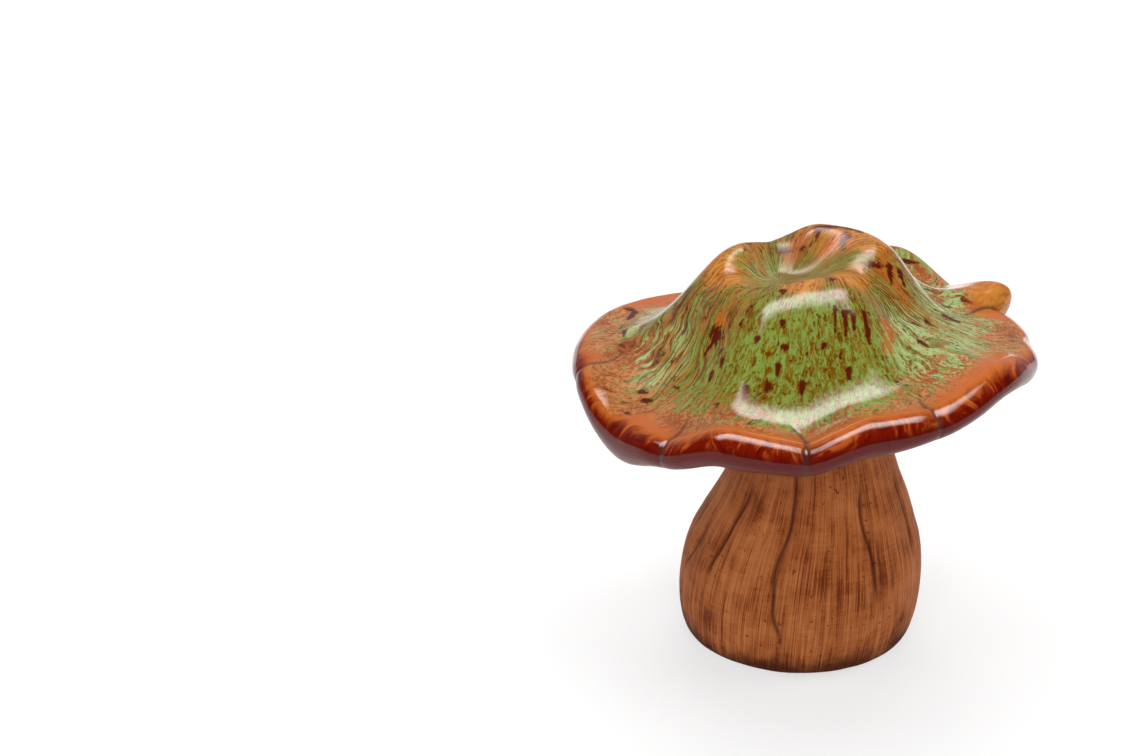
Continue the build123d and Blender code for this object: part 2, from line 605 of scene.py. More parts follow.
@dataclass(frozen=True)
class Glaze:
    """Green glaze that runs in streaks and specks over amber and red-brown."""

    mint: Tint = (122, 146, 64)
    celadon: Tint = (160, 182, 118)
    moss: Tint = (118, 102, 18)
    olive: Tint = (112, 80, 4)
    deep: Tint = (92, 42, 0)
    tan: Tint = (160, 112, 54)
    rust: Tint = (92, 40, 4)
    amber: Tint = (200, 132, 54)
    copper: Tint = (170, 94, 34)
    fawn: Tint = (186, 126, 74)
    rose: Tint = (156, 80, 40)
    blood: Tint = (78, 14, 2)
    flame: Tint = (184, 88, 18)
    vein: Tint = (80, 44, 20)
    rim_orange: Tint = (188, 95, 34)
    rim_red: Tint = (112, 18, 1)
    rim_dark: Tint = (76, 5, 1)
    under_brown: Tint = (88, 36, 18)
    # grey-brown laid along the creases: partly glaze pooled in them, partly painted shade
    crease_pool_and_shade: Tint = (62, 40, 34)
    refraction: float = 1.34
    relief: float = 0.005
    front: Patch = Patch((-6.0, -62.0, 172.0), 62.0)
    swirled: Patch = Patch((-74.0, -14.0, 156.0), 46.0)
    right: tuple[Patch, ...] = (
        Patch((66.0, 10.0, 164.0), 46.0),
        Patch((54.0, -40.0, 168.0), 44.0),
        Patch((58.0, 80.0, 160.0), 42.0),
    )
    left: tuple[Patch, ...] = (Patch((-86.0, 40.0, 147.0), 40.0), Patch((-70.0, -14.0, 152.0), 30.0))
    combed: tuple[Patch, ...] = (
        Patch((-58.0, -14.0, 164.0), 46.0),
        Patch((-70.0, 20.0, 152.0), 40.0),
        Patch((-10.0, 4.0, 198.0), 46.0),
        Patch((36.0, -12.0, 186.0), 34.0),
        Patch((20.0, 60.0, 180.0), 44.0),
    )
    hills: tuple[Patch, ...] = (
        Patch((-40.0, 2.0, 199.0), 34.0),
        Patch((-8.0, -26.0, 198.0), 18.0),
        Patch((16.0, -18.0, 198.0), 20.0),
        Patch((6.0, 20.0, 203.0), 24.0),
        Patch((28.0, 12.0, 200.0), 24.0),
    )
    # the dimple: glaze pooled there, and a lighter colour painted in for a soft sheen
    pool: Patch = Patch((-25.0, 2.0, 190.0), 19.0)
    shy: tuple[Patch, ...] = (
        Patch((-96.0, 32.0, 146.0), 44.0),
        Patch((58.0, 82.0, 160.0), 44.0),
        Patch((98.0, -16.0, 163.0), 38.0),
        Patch((-100.0, -27.0, 142.0), 36.0),
    )
    crown: Patch = Patch((-8.0, 4.0, 200.0), 62.0)
    nub: Patch = Patch((98.0, 46.0, 160.0), 28.0)
    flames: tuple[Stroke, ...] = (
        Stroke((-9.2, 14.1, 196.6), (-5.7, 21.5, 201.7), 13.0),
        Stroke((12.0, 11.9, 201.5), (3.5, 6.2, 195.3), 12.0),
        Stroke((33.8, -4.7, 195.9), (44.4, -14.4, 179.4), 12.0),
        Stroke((32.5, -39.6, 179.2), (31.2, -51.8, 175.0), 11.0),
        Stroke((-44.8, -27.9, 178.1), (-47.6, -30.0, 172.4), 10.0),
    )
    runs: tuple[Stroke, ...] = (
        Stroke((-14.7, 17.2, 195.4), (-6.0, 13.2, 198.1), 4.0),
        Stroke((-4.7, 12.9, 198.3), (-3.4, 9.2, 194.6), 3.7),
        Stroke((2.9, 20.6, 205.1), (16.4, 22.9, 204.5), 4.0),
        Stroke((14.0, 22.4, 204.9), (23.9, 17.6, 204.1), 3.3),
        Stroke((15.7, 14.9, 203.7), (12.9, 8.2, 200.4), 4.4),
        Stroke((2.9, 19.5, 204.6), (1.3, 14.1, 200.3), 2.4),
        Stroke((26.4, -6.5, 197.9), (31.8, -5.9, 196.2), 3.0),
        Stroke((35.3, -4.2, 195.2), (36.2, -9.4, 189.5), 3.3),
        Stroke((40.7, -1.6, 191.7), (42.9, -5.4, 186.5), 2.7),
        Stroke((-47.5, -31.3, 171.6), (-48.2, -32.2, 169.9), 8.8),
        Stroke((-47.7, -31.9, 170.8), (-53.0, -32.9, 162.9), 2.4),
        Stroke((-16.5, -55.7, 177.3), (-16.7, -56.4, 176.5), 3.5),
        Stroke((-29.2, -50.6, 179.6), (-30.0, -52.0, 178.0), 2.5),
        Stroke((-17.4, -47.3, 186.2), (-17.6, -48.7, 184.8), 2.5),
        Stroke((1.5, -55.5, 178.5), (1.1, -56.2, 177.6), 2.5),
        Stroke((-45.0, -46.8, 166.5), (-45.8, -48.2, 164.8), 3.0),
        Stroke((-49.8, -47.3, 160.1), (-51.0, -49.7, 157.7), 2.8),
        Stroke((-20.0, -61.4, 170.7), (-20.4, -64.2, 167.5), 2.7),
        Stroke((12.5, -65.2, 170.4), (12.7, -68.4, 167.7), 2.8),
        Stroke((-8.8, -67.1, 163.7), (-9.1, -69.4, 161.4), 3.5),
        Stroke((-24.5, -67.7, 163.6), (-25.3, -69.9, 161.5), 3.2),
        Stroke((-35.3, -67.1, 161.9), (-36.1, -70.8, 158.7), 3.4),
        Stroke((-16.7, -31.2, 195.1), (-16.8, -33.0, 194.7), 2.8),
        Stroke((6.6, -26.0, 198.7), (6.5, -27.0, 198.6), 2.4),
        Stroke((10.9, -44.1, 190.1), (23.0, -39.9, 187.8), 2.0),
        Stroke((11.4, -44.8, 189.5), (11.6, -52.8, 182.3), 2.2),
        Stroke((15.4, -44.4, 189.1), (15.6, -50.1, 184.2), 2.1),
        Stroke((20.7, -41.9, 188.5), (22.5, -54.3, 178.6), 2.5),
        Stroke((6.9, -41.9, 192.0), (6.8, -51.4, 183.6), 1.6),
        Stroke((76.2, 32.7, 161.6), (80.1, 32.6, 160.2), 3.3),
        Stroke((63.2, -2.1, 168.9), (70.0, -0.9, 165.5), 3.3),
        Stroke((64.8, 17.8, 165.5), (69.1, 23.0, 162.4), 2.7),
        Stroke((52.8, -17.2, 173.0), (55.3, -18.4, 171.4), 3.0),
        Stroke((48.0, -37.3, 171.9), (51.2, -40.4, 170.6), 2.8),
        Stroke((51.8, 77.5, 162.5), (57.9, 78.7, 161.1), 3.3),
        Stroke((-87.2, 59.1, 145.1), (-83.3, 53.3, 145.9), 4.0),
        Stroke((-83.7, 52.8, 145.9), (-87.1, 43.0, 146.7), 3.3),
        Stroke((-89.4, 25.2, 148.7), (-89.8, 16.6, 149.4), 2.7),
        Stroke((-82.7, -31.1, 142.9), (-79.6, -32.4, 143.1), 2.5),
        Stroke((-81.1, -36.8, 141.3), (-77.8, -38.4, 141.7), 3.0),
        Stroke((-89.1, -45.4, 138.6), (-87.9, -47.7, 138.5), 2.3),
        Stroke((-12.0, 76.0, 162.0), (-13.0, 82.0, 157.0), 5.3),
    )

    def zones(self, paint: Paint, place: Socket, edge: Value) -> Zones:
        """Find where the glaze changes.

        Args:
            paint: The material's tree.
            place: Place on the cap.
            edge: Way down the cap, in millimetres past the outermost line of its lip.

        Returns:
            The zones.
        """
        return Zones(
            edge=edge,
            front=paint.spots(place, [self.front]).ease(0.08, 0.5),
            right=paint.spots(place, self.right).ease(0.05, 0.6),
            left=paint.spots(place, self.left).ease(0.05, 0.6),
            hills=paint.spots(place, self.hills).ease(0.1, 0.7),
            combed=paint.spots(place, self.combed).ease(0.05, 0.5),
            brim=edge.ease(-44.0, -26.0),
            pool=paint.spots(place, [self.pool]),
            knob=paint.spots(place, [self.nub]).ease(0.05, 0.4),
            shy=paint.spots(place, self.shy).ease(0.05, 0.5),
            crown=paint.spots(place, [self.crown]).ease(0.15, 0.6),
        )

    def grain(self, paint: Paint, place: Socket, zones: Zones) -> Grain:
        """Draw the patterns that follow the slope.

        Args:
            paint: The material's tree.
            place: Place on the cap.
            zones: Where the glaze changes.

        Returns:
            The patterns.
        """
        cos, sin, run = paint.attribute("flow")
        turn = paint.spots(place, [self.swirled]) * (75.0 - run) * 0.010
        turn = turn + (paint.noise(paint.scaled(place, 1 / 42), 11.0) - 0.5) * (1.0 - zones.front) * 0.6
        wander = (paint.noise(paint.scaled(place, 1 / 12), 1.0) - 0.5) * 0.05
        x, y = cos - sin * turn + wander, sin + cos * turn - wander

        def streak(
            across: float,
            along: float,
            seed: float,
            detail: float = 3.0,
            rough: float = 0.6,
            stir: float = 0.0,
        ) -> Value:
            """Noise drawn out down the slope.

            Args:
                across: How many grains there are to a radian round the cap.
                along: How long a grain is, in millimetres.
                seed: Which of many like patterns it is.
                detail: How many finer layers it has.
                rough: How strong those layers are.
                stir: How far the pattern is stirred.

            Returns:
                The pattern.
            """
            spread = paint.vector(x * across, y * across, run / along)
            return paint.noise(spread, seed, detail, rough, stir)

        drawn = (zones.combed + zones.brim * 0.25).least(1.0)
        return Grain(
            cloud=paint.noise(paint.scaled(place, 1 / 24), 2.0, 3.0),
            speck=paint.noise(paint.scaled(place, 1 / 1.7), 3.0, 2.0),
            dots=paint.noise(paint.scaled(place, 1 / 1.3), 14.0, 1.0),
            worms=streak(24.0, 5.6, 4.0, 3.0, 0.62, 0.7),
            combs=streak(36.0, 30.0, 5.0, 2.0),
            tone=streak(30.0, 24.0, 6.0),
            fleck=streak(40.0, 5.0, 8.0, 2.0, 0.6, 0.6),
            ridges=streak(34.0, 26.0, 13.0),
            licks=streak(26.0, 12.0, 10.0),
            blots=streak(15.0, 6.5, 9.0, 2.0),
            threads=streak(12.0, 44.0, 12.0, 2.0),
            hairs=streak(70.0, 24.0, 7.0, 2.0).ease(0.53, 0.62) * (0.2 + drawn * 0.6),
        )

    def ground(self, paint: Paint, zones: Zones, grain: Grain) -> Socket:
        """Lay green over amber and brown, with dark lines in it.

        Args:
            paint: The material's tree.
            zones: Where the glaze changes.
            grain: The glaze's patterns.

        Returns:
            The colour.
        """
        cloud, speck, tone, fleck = grain.cloud, grain.speck, grain.tone, grain.fleck
        weave = grain.worms * 0.74 + speck * 0.26
        lean = zones.front * 0.05 + zones.right * 0.035 + zones.left * 0.03
        lean = lean - zones.hills * 0.10 - zones.brim * 0.02 + (cloud - 0.5) * 0.3
        # more green in the dimple, partly glaze pooled there and partly a painted sheen
        lean = lean - zones.edge.ease(-30.0, -14.0) * (1.0 - zones.right) * 0.10 + zones.pool * 0.10
        combing = (grain.combs - weave) * zones.combed * (1.0 - zones.front)
        green = (weave + combing + lean).ease(0.45, 0.55)

        body = paint.mix(self.rust, self.tan, tone.ease(0.38, 0.56))
        body = paint.mix(body, paint.mix(self.deep, self.olive, fleck.ease(0.34, 0.54)), zones.front)
        body = paint.mix(body, paint.mix(self.copper, self.amber, tone.ease(0.36, 0.56)), zones.hills)
        dust = (speck * 0.5 + cloud * 0.3 + fleck * 0.2).ease(0.42, 0.56)
        body = paint.mix(body, paint.mix(self.rose, self.fawn, dust), zones.brim)
        leaf = paint.mix(self.moss, self.mint, fleck.ease(0.36, 0.58))
        # lighter celadon in the dimple stands partly for pooled glaze and partly for a painted sheen
        pale = (zones.right + zones.left * 0.7 + zones.brim * 0.3 + zones.pool).least(1.0)
        leaf = paint.mix(leaf, self.celadon, pale * tone.ease(0.36, 0.52))
        veins = (grain.threads - 0.5).bell(0.012) * (zones.combed + zones.left).least(1.0)
        return paint.mix(paint.mix(body, leaf, green), self.vein, (veins * 0.65).most(grain.hairs))

    def marked(self, paint: Paint, place: Socket, zones: Zones, grain: Grain, colour: Socket) -> Socket:
        """Add the flames, blots and drips, and the bare nub.

        Args:
            paint: The material's tree.
            place: Place on the cap.
            zones: Where the glaze changes.
            grain: The glaze's patterns.
            colour: The colour under them.

        Returns:
            The colour.
        """
        edge, tone, ridges = zones.edge, grain.tone, grain.ridges
        blaze = (paint.strokes(place, self.flames) * 0.9 + (ridges - 0.5) * 3.0).ease(0.25, 0.75)
        fire = paint.mix(self.copper, self.flame, tone.ease(0.4, 0.56))
        colour = paint.mix(colour, fire, blaze * 0.75)
        dots = grain.dots.ease(0.66, 0.74) * (zones.brim + zones.right).least(1.0)
        dark = grain.blots.ease(0.65, 0.7) * (1.0 - edge.ease(-40.0, -20.0))
        dark = dark.most(dots * edge.ease(-12.0, -24.0) * 0.7)
        ragged = (grain.worms - 0.5) * 1.7 + (grain.speck - 0.5) * 0.9 + (ridges - 0.5) * 0.9
        stain = paint.strokes(place, self.runs) + ragged
        colour = paint.mix(colour, self.deep, stain.ease(0.08, 0.4) * 0.75)
        colour = paint.mix(colour, self.blood, dark.most(stain.ease(0.34, 0.6)) * 0.92)
        cast = paint.mix(self.copper, self.amber, (tone * 0.5 + grain.fleck * 0.5).ease(0.36, 0.56))
        return paint.mix(colour, paint.mix(cast, self.rust, grain.hairs * 0.6), zones.knob)

    def rimmed(self, paint: Paint, zones: Zones, grain: Grain, colour: Socket) -> Socket:
        """Add the red-brown lip, where the glaze has run thin, and the brown under it.

        Args:
            paint: The material's tree.
            zones: Where the glaze changes.
            grain: The glaze's patterns.
            colour: The colour that it meets.

        Returns:
            The colour.
        """
        edge, licks = zones.edge, grain.licks
        reach = edge - zones.shy * edge.ease(-1.0, -12.0) * 13.0 + (grain.cloud - 0.5) * 14.0
        reach = reach + (grain.worms - 0.5) * 12.0 + (grain.speck - 0.5) * 6.0
        lip = paint.mix(self.rim_orange, self.rim_red, (reach * 0.35 + edge * 0.65).ease(-12.0, -5.0))
        lip = paint.mix(lip, self.rim_orange, licks.ease(0.52, 0.66) * edge.ease(2.0, -6.0) * 0.7)
        lip = paint.mix(lip, self.rim_dark, edge.ease(-6.0, 0.0) * 0.9)
        lip = paint.mix(lip, self.rim_dark, licks.ease(0.48, 0.34) * edge.ease(-14.0, -5.0) * 0.8)
        lip = paint.mix(lip, self.under_brown, edge.ease(18.0, 46.0))
        return paint.mix(colour, lip, reach.ease(-24.0, -12.0) * (1.0 - zones.knob * 0.8))

    def make(self) -> bpy.types.Material:
        """Build the material.

        Returns:
            The glaze.
        """
        paint = Paint("running_glaze")
        edge, crease, valley = paint.attribute("zones")
        place = paint.object_place()
        zones = self.zones(paint, place, edge)
        grain = self.grain(paint, place, zones)
        colour = self.ground(paint, zones, grain)
        colour = self.marked(paint, place, zones, grain, colour)
        colour = self.rimmed(paint, zones, grain, colour)
        # creases darkened, partly pooled glaze and partly painted shade; the soft valleys round them get
        # a faint painted shade
        colour = paint.mix(colour, self.crease_pool_and_shade, (crease * 0.8).most(valley * 0.15))
        shine = 0.13 + zones.left * 0.12 + zones.crown * 0.16
        shine = shine - edge.ease(-16.0, -8.0) * 0.07 + edge.ease(-2.0, 5.0) * 0.26
        return paint.finish(
            Base_Color=colour,
            Roughness=shine,
            IOR=self.refraction,
            Normal=paint.bump(grain.worms + grain.tone * 0.5, self.relief),
        )


@dataclass(frozen=True)
class Bisque:
    """Matte brown stain, brushed up and down over bare clay."""

    light: Tint = (170, 104, 58)
    middle: Tint = (146, 80, 38)
    dark: Tint = (96, 38, 6)
    foot: Tint = (54, 12, 1)
    gloss: float = 0.15
    relief: float = 0.22

    def make(self) -> bpy.types.Material:
        """Build the material.

        Returns:
            The stained clay.
        """
        paint = Paint("stained_bisque")
        cos, sin, rise = paint.attribute("flow")
        groove, _, _ = paint.attribute("zones")
        place = paint.object_place()

        def brushed(across: float, along: float, seed: float, detail: float = 3.0) -> Value:
            """Noise drawn out up the stem."""
            return paint.noise(paint.vector(cos * across, sin * across, rise / along), seed, detail, 0.6)

        bristle = brushed(110.0, 34.0, 1.0)
        sweep = brushed(30.0, 48.0, 2.0)
        rings = brushed(7.0, 1.3, 3.0)
        cloud = paint.noise(paint.scaled(place, 1 / 26), 4.0, 4.0, 0.6)
        pits = paint.noise(paint.scaled(place, 1 / 2.4), 5.0, 1.0).ease(0.70, 0.76)
        shade = bristle * 0.55 + sweep * 0.33 + rings * 0.12 + (cloud - 0.5) * 0.5
        colour = paint.mix(self.dark, self.middle, shade.ease(0.38, 0.5))
        colour = paint.mix(colour, self.light, shade.ease(0.5, 0.62) * 0.9)
        stain = groove * (0.5 + bristle * 0.7)
        colour = paint.mix(colour, self.foot, stain.least(0.85))
        band = (rise + (cloud - 0.5) * 26.0 + (bristle - 0.5) * 10.0).ease(15.0, 3.0)
        colour = paint.mix(colour, self.foot, band * 0.85)
        colour = paint.mix(colour, self.foot, pits * 0.6)
        return paint.finish(
            Base_Color=colour,
            Roughness=0.62 + bristle * 0.2,
            Specular_IOR_Level=self.gloss,
            Normal=paint.bump(bristle + rings * 0.4 - pits * 0.8, self.relief),
        )


@dataclass(frozen=True)
class Felt:
    """Pressed wool felt."""

    name: str
    dark: Tint
    light: Tint
    roughness: float = 0.95
    gloss: float = 0.15
    sheen: float = 0.3
    relief: float = 0.35

    def make(self) -> bpy.types.Material:
        """Build the material.

        Returns:
            The felt.
        """
        paint = Paint(self.name)
        place = paint.object_place()
        fibre = paint.noise(paint.scaled(place, 1 / 0.5), 1.0, 4.0, 0.7, 1.2)
        cloud = paint.noise(paint.scaled(place, 1 / 6.0), 2.0, 3.0)
        colour = paint.mix(self.dark, self.light, (fibre * 0.7 + cloud * 0.3).ease(0.34, 0.66))
        return paint.finish(
            Base_Color=colour,
            Roughness=self.roughness,
            Specular_IOR_Level=self.gloss,
            Sheen_Weight=self.sheen,
            Normal=paint.bump(fibre, self.relief),
        )


# Pieces


class Run(Enum):
    """Stretches of the cap's profile, from the middle of its dimple to its bore."""

    FLOOR = "floor"
    DIMPLE = "dimple"
    FLANK = "flank"
    LIP = "lip"
    UNDER = "under"
    COLLAR = "collar"
    BORE = "bore"
    LEDGE = "ledge"


class RimPoint(NamedTuple):
    """Rolled lip at an angle: its middle above the seat, and how much deeper it hangs."""

    angle: float
    height: float
    radius: float
    drop: float


class CrownPoint(NamedTuple):
    """Slope of the crown at an angle, with heights above the seat."""

    angle: float
    crest_height: float
    crest: float
    shoulder: float
    foot: float
    foot_height: float


class Rounds(NamedTuple):
    """What changes round the cap: lines of faces, lip and crown."""

    line: Value
    bow: Value
    lip_height: Value
    lip_radius: Value
    drop: Value
    crest_height: Value
    crest: Value
    shoulder: Value
    foot: Value
    foot_height: Value


def bend(a: Number, b: Number, c: Number, d: Number, t: Value) -> Value:
    """How far a cubic curve has gone from its start.

    Args:
        a: The first control value.
        b: The second control value.
        c: The third control value.
        d: The last control value.
        t: The share of the curve.

    Returns:
        The curve's value less the first control value.
    """
    first, second = 3.0 * (b - a), 3.0 * (c - b) - 3.0 * (b - a)
    third = (d - a) - 3.0 * (c - b)
    return t * (first + t * (second + t * third))


def around(angle: Value, rows: Sequence[tuple], pinch: float = 0.0) -> list[Number]:
    """Columns of a table at an angle, eased from row to row round the circle.

    Args:
        angle: The angle, no less than the first row's.
        rows: Rows that each begin with their angle.
        pinch: How sharply the even rows, which are creases, are drawn in.

    Returns:
        The columns after the angle.
    """
    laps = [*rows, *((row[0] + FULL_TURN, *row[1:]) for row in rows[:2])]
    columns: list[Number] = list(laps[0][1:])
    for index, (here, there) in enumerate(zip(laps, laps[1:])):
        share = angle.ease(here[0], there[0])
        if pinch:
            t = angle.ramp(here[0], there[0])
            bow = t * t if index % 2 else t * (2.0 - t)
            share = share * (1.0 - pinch) + bow * pinch
        steps = [b - a for a, b in zip(here[1:], there[1:])]
        blend = share.graph.math
        columns = [blend("MULTIPLY_ADD", share, step, old) for step, old in zip(steps, columns)]
    return columns


@dataclass
class Cap:
    """Hollow ruffled cap: a dimpled crown, eight lobes and a rolled lip."""

    seat: float
    wall: float = 6.0
    lip: float = 8.0
    lip_reach: float = 11.0
    collar: float = 38.0
    bore: float = 25.0
    haunch: float = 66.0
    haunch_height: float = 2.0
    lip_run: float = 14.0
    dimple_height: float = 75.0
    dimple_x: float = -17.0
    dimple_flat: float = 0.2
    columns: int = 480
    pinch: float = 0.25
    groove_width: float = 1.3
    groove_depth: float = 0.5
    valley_width: float = 6.0
    valley_depth: float = 0.9
    unevenness: float = 0.9
    lump_grain: float = 22.0
    crowding: float = 0.85
    dimple_way: float = 30.0
    flank_way: float = 95.0
    lip_way: float = 25.0
    under_way: float = 75.0
    rim: tuple[RimPoint, ...] = (
        RimPoint(20.0, 39.0, 91.5, 3.0),
        RimPoint(27.5, 44.0, 103.5, 0.0),
        RimPoint(43.5, 34.5, 96.0, 2.0),
        RimPoint(62.0, 46.0, 99.0, 3.5),
        RimPoint(92.0, 28.0, 95.0, 3.0),
        RimPoint(107.0, 26.0, 98.5, 3.0),
        RimPoint(121.5, 21.5, 103.5, 3.5),
        RimPoint(152.0, 25.5, 107.5, 4.0),
        RimPoint(184.0, 27.5, 103.5, 1.5),
        RimPoint(208.5, 18.5, 100.0, 7.0),
        RimPoint(228.0, 22.0, 102.0, 0.5),
        RimPoint(245.0, 34.0, 102.0, 3.0),
        RimPoint(265.0, 31.0, 100.5, 0.5),
        RimPoint(283.0, 43.0, 101.5, 2.5),
        RimPoint(297.4, 44.5, 103.5, 0.0),
        RimPoint(322.5, 51.5, 100.5, 0.0),
        RimPoint(342.0, 44.5, 98.5, 0.5),
        RimPoint(359.0, 42.0, 94.5, 5.0),
    )
    crown: tuple[CrownPoint, ...] = (
        CrownPoint(15.0, 92.0, 28.5, 49.0, 47.5, 47.0),
        CrownPoint(80.0, 93.5, 23.0, 43.0, 46.0, 38.0),
        CrownPoint(127.5, 85.0, 28.5, 43.5, 43.5, 33.5),
        CrownPoint(168.0, 89.0, 35.0, 54.5, 68.0, 35.0),
        CrownPoint(190.0, 80.5, 39.5, 54.0, 60.0, 31.0),
        CrownPoint(212.0, 79.5, 37.5, 55.0, 60.0, 29.0),
        CrownPoint(240.0, 83.5, 31.0, 58.0, 77.0, 31.0),
        CrownPoint(265.0, 85.5, 25.0, 56.0, 64.0, 31.5),
        CrownPoint(290.0, 87.0, 25.0, 52.0, 70.0, 37.5),
        CrownPoint(327.0, 84.0, 20.0, 34.0, 48.0, 47.0),
    )
    crease_bows: tuple[float, ...] = (-18.0, 0.0, 3.0, -3.0, -12.0, -4.0, -8.0, 4.3, 0.0)
    crease_strengths: tuple[float, ...] = (1.0, 0.0, 0.7, 0.8, 0.8, 0.9, 1.0, 1.0, 0.0)
    outer_rows: dict[Run, int] = field(
        default_factory=lambda: {
            Run.FLOOR: 5,
            Run.DIMPLE: 22,
            Run.FLANK: 74,
            Run.LIP: 26,
            Run.UNDER: 30,
            Run.COLLAR: 4,
            Run.BORE: 3,
            Run.LEDGE: 2,
        }
    )
    inner_rows: dict[Run, int] = field(
        default_factory=lambda: {Run.FLOOR: 2, Run.DIMPLE: 4, Run.FLANK: 14, Run.LIP: 5, Run.UNDER: 10}
    )

    def lines(self, form: Form) -> tuple[Value, Value]:
        """Where each line of faces runs, crowded at the creases.

        Args:
            form: The tree that it is added to.

        Returns:
            The angle at the lip, and how far the line bows away from it on the brim.
        """
        count = len(self.crease_bows)
        creases = [point.angle for point in self.rim[::2]]
        creases.append(creases[0] + FULL_TURN)
        bows = [*self.crease_bows, self.crease_bows[0]]
        line: Number = creases[0]
        bow: Number = bows[0]
        for index in range(count):
            part = (form.kept("u") * count).ramp(index, index + 1)
            eased = part.ease(0.0, 1.0)
            crowded = part * (1.0 - self.crowding) + eased * self.crowding
            line = line + (creases[index + 1] - creases[index]) * crowded
            bow = bow + (bows[index + 1] - bows[index]) * eased
        return line, bow

    def creasing(self, line: Value, radius: Value) -> tuple[Value, Value]:
        """How near a point is to a crease between two lobes.

        Args:
            line: The angle at the lip of the line that the point is on.
            radius: The point's distance from the axis.

        Returns:
            The fine line in the crease, and the soft valley round it, each from 0 to 1.
        """
        fine: Number = 0.0
        soft: Number = 0.0
        for point, strength in zip(self.rim[::2], self.crease_strengths):
            gap = (line - point.angle).turned().radians() * radius
            fine = gap.bell(self.groove_width) * strength + fine
            soft = gap.bell(self.valley_width) * strength + soft
        return fine, soft

    def skin(self, form: Form, inset: float, rows: dict[Run, int], rounds: Rounds) -> Socket:
        """One side of the wall, as an open sheet.

        Args:
            form: The tree that it is added to.
            inset: How far it lies inside the outer surface.
            rows: How many faces each stretch of the profile has.
            rounds: What changes round the cap.

        Returns:
            The sheet, whose points carry "flow" and, on the outside, "zones" and "sink".
        """
        sheet = form.grid(form.size("Columns") + 1.0, sum(rows.values()) + 1)
        share: dict[Run, Number] = {**dict.fromkeys(Run, 0.0), **form.stretches(rows)}
        flank, lip, under = share[Run.FLANK], share[Run.LIP], share[Run.UNDER]
        bowed = flank.ease(0.3, 0.7) * (1.0 - flank.ease(0.72, 1.0))
        sheet = form.store(sheet, "angle", rounds.line + rounds.bow * bowed)
        turn = form.kept("angle").radians()

        lip_radius = rounds.lip_radius - inset
        shoulder, foot = rounds.shoulder - inset, rounds.foot - inset
        crest_z, foot_z = rounds.crest_height - inset, rounds.foot_height - inset
        roll = self.lip - inset
        low = rounds.lip_height - roll - rounds.drop
        out = share[Run.FLOOR] * self.dimple_flat + share[Run.DIMPLE] * (1.0 - self.dimple_flat)
        shift = (1.0 - out) * self.dimple_x

        radius = rounds.crest * out
        radius = radius + bend(rounds.crest, shoulder, foot, lip_radius, flank)
        radius = radius + (self.lip_reach - inset) * (lip * math.pi).sin()
        run_in = lip_radius + (inset - self.lip_run)
        radius = radius + bend(lip_radius, run_in, self.haunch, self.collar - inset, under)
        radius = radius + (self.bore - self.collar) * share[Run.COLLAR]
        radius = radius + (self.collar - self.wall - self.bore) * share[Run.LEDGE]

        dimple_z = self.dimple_height - inset
        height = dimple_z + (crest_z - dimple_z) * share[Run.DIMPLE].ease(0.0, 1.0)
        height = height + bend(crest_z, crest_z, foot_z, rounds.lip_height + roll, flank)
        height = height + (roll + rounds.drop * 0.5) * ((lip * math.pi).cos() - 1.0)
        height = height + bend(low, low, self.haunch_height + inset, inset, under)
        height = height + self.wall * share[Run.BORE] + self.seat
        sheet = form.place(sheet, shift + radius * turn.cos(), radius * turn.sin(), height)

        path = out * self.dimple_way + flank * self.flank_way
        path = path + lip * self.lip_way + under * self.under_way
        edge = (flank - 1.0) * self.flank_way + (lip - 0.5) * self.lip_way + under * self.under_way
        sheet = form.store(sheet, "flow", form.vector(turn.cos(), turn.sin(), path))
        if inset:
            return sheet
        reach = flank.ease(0.78, 0.95) * (1.0 - (lip + under).ease(0.4, 1.0))
        fine, soft = self.creasing(rounds.line, radius)
        sink = (fine * form.size("Groove Depth") + soft * form.size("Valley Depth")) * reach
        sheet = form.store(sheet, "zones", form.vector(edge, fine * reach, soft * reach))
        return form.store(sheet, "sink", sink)

    def build(self, material: bpy.types.Material) -> bpy.types.Object:
        """Make the cap's mesh.

        Args:
            material: The glaze.

        Returns:
            The piece.
        """
        form = Form(
            "cap_shape",
            {
                "Columns": self.columns,
                "Groove Depth": self.groove_depth,
                "Valley Depth": self.valley_depth,
                "Unevenness": self.unevenness,
            },
        )
        line, bow = self.lines(form)
        angle = form.kept("angle")
        rounds = Rounds(line, bow, *around(angle, self.rim, self.pinch), *around(angle, self.crown))
        outside = form.flipped(self.skin(form, 0.0, self.outer_rows, rounds))
        inside = self.skin(form, self.wall, self.inner_rows, rounds)
        rough = form.lumps(self.lump_grain, 3.0) * form.size("Unevenness")
        shell = form.swell(form.closed(outside, inside), rough - form.kept("sink"))
        return form.finish(shell, "cap_glazed", material)

    def dress(self) -> bpy.types.Object:
        """Build the cap, glaze it and set it on its body.

        Returns:
            The piece.
        """
        piece = self.build(Glaze().make())
        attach(piece, "cap")
        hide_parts("cap")
        return piece


class Side(Enum):
    """Stretches of the stem's profile, from the middle of its sole to the top of its spigot."""

    SOLE = "sole"
    WALL = "wall"
    SHOULDER = "shoulder"
    SPIGOT = "spigot"
    BEVEL = "bevel"
    TOP = "top"


class StemPoint(NamedTuple):
    """The stem at a share of its height: its radius and how far its middle leans along X."""

    share: float
    radius: float
    lean: float


class Groove(NamedTuple):
    """Carved line up the stem: its width, depth and the angle it has at each height."""

    width: float
    depth: float
    points: tuple[tuple[float, float], ...]


